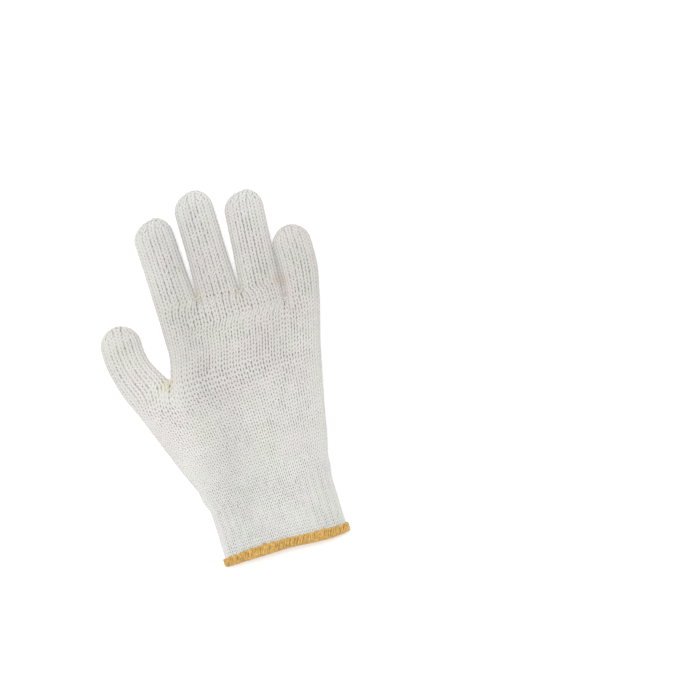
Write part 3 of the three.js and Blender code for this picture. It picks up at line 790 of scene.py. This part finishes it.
# Materials
def new_material(name, specular):
    material = bpy.data.materials.new(name)
    material.use_nodes = True
    tree = material.node_tree
    tree.nodes.clear()
    out = tree.nodes.new("ShaderNodeOutputMaterial")
    shader = tree.nodes.new("ShaderNodeBsdfPrincipled")
    shader.inputs["Specular IOR Level"].default_value = specular
    tree.links.new(shader.outputs["BSDF"], out.inputs["Surface"])
    return material, tree, shader


def noise(tree, scale, detail, roughness, coordinates):
    node = tree.nodes.new("ShaderNodeTexNoise")
    node.inputs["Scale"].default_value = scale
    node.inputs["Detail"].default_value = detail
    node.inputs["Roughness"].default_value = roughness
    tree.links.new(coordinates, node.inputs["Vector"])
    return node.outputs["Fac"]


def ramp(tree, fac, stops):
    node = tree.nodes.new("ShaderNodeValToRGB")
    while len(node.color_ramp.elements) < len(stops):
        node.color_ramp.elements.new(0.5)
    for element, (at, colour) in zip(node.color_ramp.elements, stops):
        element.position = at
        element.color = (*colour, 1)
    tree.links.new(fac, node.inputs["Fac"])
    return node.outputs["Color"]


def multiply(tree, a, b):
    node = tree.nodes.new("ShaderNodeMix")
    node.data_type = "RGBA"
    node.blend_type = "MULTIPLY"
    node.inputs["Factor"].default_value = 1.0
    tree.links.new(a, node.inputs["A"])
    tree.links.new(b, node.inputs["B"])
    return node.outputs["Result"]


def map_range(tree, given, low, high):
    node = tree.nodes.new("ShaderNodeMapRange")
    node.inputs["From Min"].default_value = low
    node.inputs["From Max"].default_value = high
    tree.links.new(given, node.inputs["Value"])
    return node.outputs["Result"]


def maths(tree, operation, *given):
    """A maths node. What is given for each of its inputs is a socket or a number."""
    node = tree.nodes.new("ShaderNodeMath")
    node.operation = operation
    for socket, item in zip(node.inputs, given):
        if isinstance(item, float):
            socket.default_value = item
        else:
            tree.links.new(item, socket)
    return node.outputs[0]


def bump(tree, shader, height, strength, distance):
    node = tree.nodes.new("ShaderNodeBump")
    node.inputs["Strength"].default_value = strength
    node.inputs["Distance"].default_value = distance
    tree.links.new(height, node.inputs["Height"])
    tree.links.new(node.outputs["Normal"], shader.inputs["Normal"])


# where the cotton has yellowed a little at the crotches, and painted shade in the crease between the ring
# and little fingers: x, y and reach in metres, colour
YELLOWED_AND_SHADED_SPOTS = [(-0.0405, 0.0025, 0.008, (1.02, 1.0, 0.88)), (-0.0055, 0.053, 0.006, (1.02, 1.0, 0.91)),
              (0.0475, 0.0475, 0.0065, (0.96, 0.89, 0.83)), (0.019, 0.047, 0.006, (1.0, 0.96, 0.94))]
SPOT_HEIGHT = 0.009
# place from the hem to the fingertips, colour: a cooler tone at the cuff and fingertips, and painted shade
# that greys the upper palm and fingers, darkest below the fingers
ALONG_TONES_AND_PAINTED_SHADE = [(0.0, (1.0, 1.01, 1.005)), (0.3, (0.985, 0.985, 0.97)), (0.46, (0.955, 0.935, 0.93)),
               (0.68, (0.90, 0.885, 0.865)), (0.85, (0.93, 0.915, 0.91)), (1.0, (0.985, 1.01, 1.0))]
# place from the thumb's side to the little finger's, colour: painted light on the thumb's side and painted
# shade just beside it
ACROSS_PAINTED_LIGHT_AND_SHADE = [(0.0, (1.06, 1.06, 1.06)), (0.24, (1.08, 1.075, 1.075)), (0.39, (0.95, 0.955, 0.95)),
                (0.55, (1.01, 1.005, 1.005)), (0.75, (0.99, 0.985, 0.985)), (1.0, (1.015, 1.01, 1.0))]
# the slow noise over the cloth, colour: pinkish, neutral, greenish
SOFT_TINTS = [(0.36, (1.0, 0.982, 0.984)), (0.5, (1.0, 1.0, 1.0)), (0.64, (0.978, 1.0, 0.968))]
# half the glove's extent along X and Y, over which the tints run
ACROSS_REACH, ALONG_REACH = 0.08, 0.12


def place_tint_and_painted_light(tree, position):
    """The cloth's colour by place: cooler at the fingertips and cuff, greyer with painted shade below the
    fingers, lighter with painted light on the thumb, with soft pinkish and greenish patches."""
    axes = tree.nodes.new("ShaderNodeSeparateXYZ")
    tree.links.new(position, axes.inputs["Vector"])
    along, across = (map_range(tree, axes.outputs[axis], -reach, reach)
                     for axis, reach in (("Y", ALONG_REACH), ("X", ACROSS_REACH)))
    colour = multiply(tree, ramp(tree, along, ALONG_TONES_AND_PAINTED_SHADE), ramp(tree, across, ACROSS_PAINTED_LIGHT_AND_SHADE))
    colour = multiply(tree, colour, ramp(tree, noise(tree, 55.0, 2.0, 0.5, position), SOFT_TINTS))
    # yellowed spots at the crotches, one of them painted shade in the ring and little fingers' crease
    for x, y, reach, tint in YELLOWED_AND_SHADED_SPOTS:
        away = tree.nodes.new("ShaderNodeVectorMath")
        away.operation = "DISTANCE"
        away.inputs[1].default_value = (x, y, SPOT_HEIGHT)
        tree.links.new(position, away.inputs[0])
        spot = map_range(tree, away.outputs["Value"], 0.0, reach)
        colour = multiply(tree, colour, ramp(tree, spot, [(0.35, tint), (1.0, (1, 1, 1))]))
    return colour


def yarn_material(name, low, high, ply_mm, sheen=0.25, placed=True, patch_scale=38.0):
    """Plied yarn: strands twisted round it, fine fibres over them, and patches of two tones."""
    material, tree, shader = new_material(name, 0.2)
    position = tree.nodes.new("ShaderNodeTexCoord").outputs["Object"]
    uv = tree.nodes.new("ShaderNodeUVMap")
    uv.uv_map = "yarn"
    patches = noise(tree, patch_scale, 3.0, 0.55, position)
    colour = ramp(tree, patches, [(0.3, low), (0.7, high)])
    # the colour by place adds painted light and painted shade
    if placed:
        colour = multiply(tree, colour, place_tint_and_painted_light(tree, position))
    flecks = noise(tree, 900.0, 4.0, 0.7, position)
    colour = multiply(tree, colour, ramp(tree, flecks, [(0.25, (0.9, 0.89, 0.88)), (0.6, (1, 1, 1))]))
    # strands: a wave that runs along the yarn and twice round it
    split = tree.nodes.new("ShaderNodeSeparateXYZ")
    tree.links.new(uv.outputs["UV"], split.inputs["Vector"])
    along = maths(tree, "DIVIDE", split.outputs["X"], ply_mm)
    twist = maths(tree, "MULTIPLY_ADD", split.outputs["Y"], 2.0, along)
    wave = maths(tree, "SINE", maths(tree, "MULTIPLY", twist, 2 * math.pi))
    fibre = noise(tree, 2600.0, 3.0, 0.6, position)
    bump(tree, shader, maths(tree, "MULTIPLY_ADD", wave, 0.35, fibre), 0.55, 0.00018)
    tree.links.new(colour, shader.inputs["Base Color"])
    rough = ramp(tree, fibre, [(0.2, (0.84, 0.84, 0.84)), (0.8, (0.98, 0.98, 0.98))])
    tree.links.new(rough, shader.inputs["Roughness"])
    shader.inputs["Sheen Weight"].default_value = sheen
    shader.inputs["Sheen Roughness"].default_value = 0.6
    return material


def backing_material(name, colour):
    """What shows between the loops and inside the cuff: matt, without strands, and darker with painted
    shade.
    """
    material, tree, shader = new_material(name, 0.1)
    position = tree.nodes.new("ShaderNodeTexCoord").outputs["Object"]
    patches = noise(tree, 60.0, 3.0, 0.5, position)
    low = tuple(c * 0.88 for c in colour)
    tree.links.new(ramp(tree, patches, [(0.3, low), (0.7, colour)]), shader.inputs["Base Color"])
    bump(tree, shader, noise(tree, 1500.0, 4.0, 0.6, position), 0.6, 0.0003)
    shader.inputs["Roughness"].default_value = 0.95
    return material


COTTON_LOW, COTTON_HIGH = (0.645, 0.64, 0.625), (0.705, 0.70, 0.685)
COTTON = yarn_material("bleached_cotton_yarn", COTTON_LOW, COTTON_HIGH, 1.5)
ELASTIC = yarn_material("elastic_cotton_yarn", COTTON_LOW, COTTON_HIGH, 1.2)
AMBER = yarn_material("amber_overlock_thread", (0.47, 0.262, 0.05), (0.81, 0.52, 0.145), 0.8,
                      sheen=0.3, placed=False, patch_scale=560.0)
# the wall's dark grey is painted shade in the gaps between the loops and inside the cuff
PAINTED_SHADE_BACKING = backing_material("painted_shade_between_loops", (0.27, 0.255, 0.24))

# Pieces of knitted cloth
CUFF_STEPS, HAND_STEPS = 12, 16    # points along the yarn, for each wale of the upper face
# piece, region, courses, node that it stands for
KNITS = [
    ("knit_cuff", "cuff", range(CUFF_COURSES), "wrist_cuff"),
    ("knit_heel", "lower", range(HEEL_COURSES), "palm_shell"),
    ("knit_palm", "lower", range(HEEL_COURSES, LOWER_COURSES), "palm_shell"),
    ("knit_upper_palm", "upper", range(UPPER_COURSES), "palm_shell"),
    ("knit_knuckles", "knuckle", range(KNUCKLE_COURSES), "palm_shell"),
]
for stall in ["thumb", *FINGERS]:
    KNITS.append(("knit_" + stall, stall, range(REGIONS[stall]["courses"]), stall + "_stall"))
for piece_name, region_name, courses, node in KNITS:
    v, f, uv = stitches(region_name, courses, CUFF_STEPS if region_name == "cuff" else HAND_STEPS)
    ob = mesh_object(piece_name, v, f, ELASTIC if region_name == "cuff" else COTTON, uv)
    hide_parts(node)


# crotch, way of its threads, number of threads
DARNS = [(CROTCHES[0], (0.98, 0.2), 4), (CROTCHES[1], (0.98, 0.17), 3),
         (LITTLE_CROTCH, (1.0, 0.1), 4), (THUMB_CROTCH, (0.95, 0.3), 5)]
DARN_REACH, DARN_SPACING, DARN_BELOW, DARN_HEIGHT, DARN_HALF = 2.1, 0.72, 0.7, 9.2, 0.42


def crotch_darns():
    """A few threads that close the knit where the stalls part."""
    parts = []
    for crotch, along, count in DARNS:
        along = unit(np.array(along))
        up = np.array([-along[1], along[0]])
        for k in range(count):
            uneven = rng.normal(0, 1, 5)
            t = np.linspace(-1, 1, 15)
            reach = DARN_REACH + 0.35 * uneven[0]
            off = (k - (count - 1) / 2) * DARN_SPACING - DARN_BELOW + 0.12 * uneven[1]
            plan = crotch + np.outer(t * reach, along) + np.outer(off + 0.25 * uneven[2] * t, up)
            # the ends dip into the cloth on both sides
            z = DARN_HEIGHT + 0.25 * uneven[3] + 1.5 * t ** 2 - 2.2 * np.abs(t) ** 6
            normals = np.tile([0.0, 0.0, 1.0], (len(t), 1))
            wide = DARN_HALF * (1 - 0.5 * np.abs(t) ** 6)
            parts.append(tube(np.column_stack([plan, z]), normals, wide, wide * 0.85, 6, False))
    return joined(parts)


v, f, uv = crotch_darns()
ob = mesh_object("crotch_darns", v, f, COTTON, uv)
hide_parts("palm_shell")

WALL_OUTER, WALL_INNER = MIDDLE + 0.05, MIDDLE + 0.45    # depths under the skin


def cloth_wall():
    """A thin wall in the middle of the cloth behind the loops, of one row a course, whose dark colour is
    painted shade in the gaps between them. It has a rim at the cuff, and is open at the very tip of each
    stall."""
    cuff = REGIONS["cuff"]["id"]
    count = len(SKIN)
    rim = np.concatenate([cuff[0, 0], cuff[1, 0, -2:0:-1]])
    after = np.roll(rim, -1)
    outer = np.concatenate([face_quads(region["id"][:, ::H]) for region in REGIONS.values()])
    edge = np.stack([after, rim, rim + count, after + count], -1)
    walls = np.concatenate([outer, outer[:, ::-1] + count, edge])
    walls = walls[np.array([len(set(quad)) == 4 for quad in walls.tolist()])]
    used, walls = np.unique(walls, return_inverse=True)
    wall_points = np.concatenate([SKIN - NORMAL * WALL_OUTER, SKIN - NORMAL * WALL_INNER])
    return wall_points[used], walls.reshape(-1, 4)


# the wall behind the loops, coloured with painted shade
v, f = cloth_wall()
ob = mesh_object("cloth_backing_painted_shade", v, f, PAINTED_SHADE_BACKING)
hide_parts("palm_shell", "wrist_cuff", *[stall + "_stall" for stall in STALLS])


# The overlocked hem
HEM_SAMPLES = 8                        # a wale
TANGENT_STEP = 1.2
BAND_STRETCH, BAND_DROP = 1.3, 0.35    # the wrapped band's height and fall, against hem_bed's
WRAP_SPACING, WRAP_HALF, WRAP_END = 0.98, 0.47, 0.25
WRAP_OUTSIDE, WRAP_INSIDE = PIECE_GAP + 0.45, -FABRIC - PIECE_GAP - 0.45
CHAIN_STEPS, CHAIN_HEIGHT = 8, 4.85


def hem_ring():
    """The cuff's section at the hem as a closed line, and the distance round it."""
    row = cuff_row(HEM_HEIGHT + PIECE_GAP)
    wales = np.linspace(0, ALL, ALL * HEM_SAMPLES + 1)
    ring = np.concatenate([row(0, wales), row(1, wales)[-2:0:-1]])
    step = np.linalg.norm(np.roll(ring, -1, axis=0) - ring, axis=1)
    run = np.concatenate([[0], np.cumsum(step)])
    return np.concatenate([ring, ring[:1]]), run


HEM, HEM_RUN = hem_ring()
HEM_AROUND = HEM_RUN[-1]


def hem_point(s, out, up):
    """A point at distance s round the hem, out from the cuff's face, up from the hem's edge."""
    def at(q):
        q = np.mod(q, HEM_AROUND)
        return np.stack([np.interp(q, HEM_RUN, HEM[:, 0]), np.interp(q, HEM_RUN, HEM[:, 2])], -1)

    here = at(s)
    d = unit(at(s + TANGENT_STEP) - at(s - TANGENT_STEP))
    normal = np.stack([-d[..., 1], d[..., 0]], -1)
    x, z = here[..., 0] + normal[..., 0] * out, here[..., 1] + normal[..., 1] * out
    height = np.interp(x, HEM_SMOOTH[:, 0], HEM_SMOOTH[:, 2])
    height = height * (1 + 0.05 * np.sin(s / 2.9 + 0.6) * np.sin(s / 7.1))
    up = (up - 0.5) * BAND_STRETCH * height - BAND_DROP
    return np.stack([x, up + hem_rise(x, np.minimum(up, HEM_HEIGHT)), z], -1)


# out, up and how far along, through one wrap from the inner top round to the outer top
WRAP_PATH = np.array([
    (WRAP_INSIDE + 0.1, 5.0, -2.2), (WRAP_INSIDE, 4.2, -1.9), (WRAP_INSIDE, 2.8, -1.2),
    (WRAP_INSIDE, 1.4, -0.5), (WRAP_INSIDE + 0.35, 0.62, -0.1), (-FABRIC / 2, 0.35, 0.1),
    (WRAP_OUTSIDE - 0.35, 0.55, 0.3), (WRAP_OUTSIDE, 1.4, 0.8), (WRAP_OUTSIDE + 0.12, 2.6, 1.6),
    (WRAP_OUTSIDE + 0.1, 3.8, 2.3), (WRAP_OUTSIDE, 4.7, 2.8), (WRAP_OUTSIDE - 0.2, 5.15, 3.0),
])


def wrap(i, wraps, path):
    """One turn of thread over the raw edge, slanting a little."""
    uneven = rng.normal(0, 1, 4)
    s = (i + 0.16 * uneven[0]) * HEM_AROUND / wraps + path[:, 2] * (1.0 + 0.15 * uneven[1])
    up = path[:, 1] + 0.34 * uneven[2] * np.clip((path[:, 1] - 2) / 2, 0, 1)
    centres = hem_point(s, path[:, 0] + 0.1 * uneven[3] * np.sign(path[:, 0] + FABRIC / 2), up)
    normals = unit(centres - hem_point(s, -FABRIC / 2, 2.4))
    wide = np.full(len(s), WRAP_HALF * (1 + 0.12 * uneven[1]))
    wide[[0, -1]] = WRAP_END
    return tube(centres, normals, wide, wide * 0.85, 6, False)


def chain(out, wraps):
    """The thread that runs along the tops of the wraps, swaying slowly up and down."""
    count = wraps * CHAIN_STEPS
    s = np.arange(count) * HEM_AROUND / count
    turn = np.arange(count) * 2 * np.pi / CHAIN_STEPS
    slow = np.tile(rng.normal(0, 1, count // 4), 3).repeat(4)
    sway = 0.3 * np.convolve(slow, np.hanning(11) / 5, "same")[:count]
    centres = hem_point(s, out + 0.22 * np.cos(turn), CHAIN_HEIGHT + 0.42 * np.sin(turn) + sway)
    normals = hem_point(s, out + 1.0, 4.9) - hem_point(s, out, 4.9)
    return tube(centres, normals, 0.42, 0.36, 5, True)


def hem_wraps():
    wraps = int(round(HEM_AROUND / WRAP_SPACING))
    knots = np.arange(len(WRAP_PATH))
    fine = np.linspace(0, knots[-1], 23)
    path = np.stack([np.interp(fine, knots, column) for column in WRAP_PATH.T], -1)
    parts = [wrap(i, wraps, path) for i in range(wraps)]
    parts += [chain(out, wraps) for out in (WRAP_OUTSIDE + 0.15, WRAP_INSIDE - 0.05)]
    return joined(parts)


v, f, uv = hem_wraps()
ob = mesh_object("overlock_wraps", v, f, AMBER, uv)
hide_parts("cuff_overlock")


# out and up, round the section
BED_SECTION = [(0.35, 0.9), (0.45, 4.6), (0.0, 4.9), (-0.3, 4.5), (-0.3, 1.1), (-1.9, 1.1),
               (-1.9, 4.5), (-2.2, 4.9), (-2.65, 4.6), (-2.55, 0.9), (-2.0, 0.6), (-0.2, 0.6)]


def hem_bed():
    """The edge under the wraps: a channel, closed round the cuff."""
    count = ALL * 4
    s = np.arange(count) * HEM_AROUND / count
    rings = np.array([hem_point(s, out, up) for out, up in BED_SECTION])
    k, i = np.meshgrid(np.arange(len(BED_SECTION)), np.arange(count), indexing="ij")
    k2, i2 = (k + 1) % len(BED_SECTION), (i + 1) % count
    faces = np.stack([k * count + i, k * count + i2, k2 * count + i2, k2 * count + i], -1)
    return rings.reshape(-1, 3), faces.reshape(-1, 4)


v, f = hem_bed()
ob = mesh_object("overlock_bed", v, f, backing_material("amber_bed", (0.46, 0.26, 0.07)))
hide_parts("cuff_overlock")

# Floor, camera and light
FLOOR_HALF = 3.0
corners = [(x * FLOOR_HALF, y * FLOOR_HALF, 0) for x, y in ((-1, -1), (1, -1), (1, 1), (-1, 1))]
floor_mesh = bpy.data.meshes.new("floor")
floor_mesh.from_pydata(corners, [], [(0, 1, 2, 3)])
floor_ob = bpy.data.objects.new("floor", floor_mesh)
bpy.context.scene.collection.objects.link(floor_ob)
paper, _, shader = new_material("white_paper", 0.1)
shader.inputs["Base Color"].default_value = (0.9, 0.9, 0.9, 1)
shader.inputs["Roughness"].default_value = 0.9
shader.inputs["Emission Color"].default_value = (1, 1, 1, 1)
shader.inputs["Emission Strength"].default_value = 0.2
floor_mesh.materials.append(paper)

# The camera looks straight down. How far it is turned, the plan point at the image's centre,
# its height, and how much of the plan it sees at the height of the glove's upper face
TURN = math.radians(-16.8)
CENTRE = (0.0779, -0.0087)
DISTANCE, SEEN_WIDTH, FACE_HEIGHT = 2.6, 0.448, 0.012
SENSOR = 36.0
camera_data = bpy.data.cameras.new("camera")
camera_data.sensor_width = SENSOR
camera_data.lens = SENSOR * (DISTANCE - FACE_HEIGHT) / SEEN_WIDTH
camera_data.clip_start, camera_data.clip_end = 0.05, 20.0
camera = bpy.data.objects.new("camera", camera_data)
camera.location = (*CENTRE, DISTANCE)
camera.rotation_euler = (0, 0, TURN)
bpy.context.scene.collection.objects.link(camera)
bpy.context.scene.camera = camera

# one large soft light overhead, turned to the origin
LAMP_PLACE, LAMP_SIZE, LAMP_POWER = Vector((-0.12, 0.5, 3.2)), 2.2, 88.0
lamp_data = bpy.data.lights.new("key", "AREA")
lamp_data.shape = "DISK"
lamp_data.size = LAMP_SIZE
lamp_data.energy = LAMP_POWER
lamp = bpy.data.objects.new("key", lamp_data)
lamp.location = LAMP_PLACE
lamp.rotation_euler = (-LAMP_PLACE).to_track_quat("-Z", "Y").to_euler()
bpy.context.scene.collection.objects.link(lamp)
world = bpy.data.worlds.new("studio")
bpy.context.scene.world = world
world.use_nodes = True
background = world.node_tree.nodes["Background"].inputs
background["Color"].default_value = (1, 1, 1, 1)
background["Strength"].default_value = 0.54
bpy.context.scene.view_settings.view_transform = "Standard"
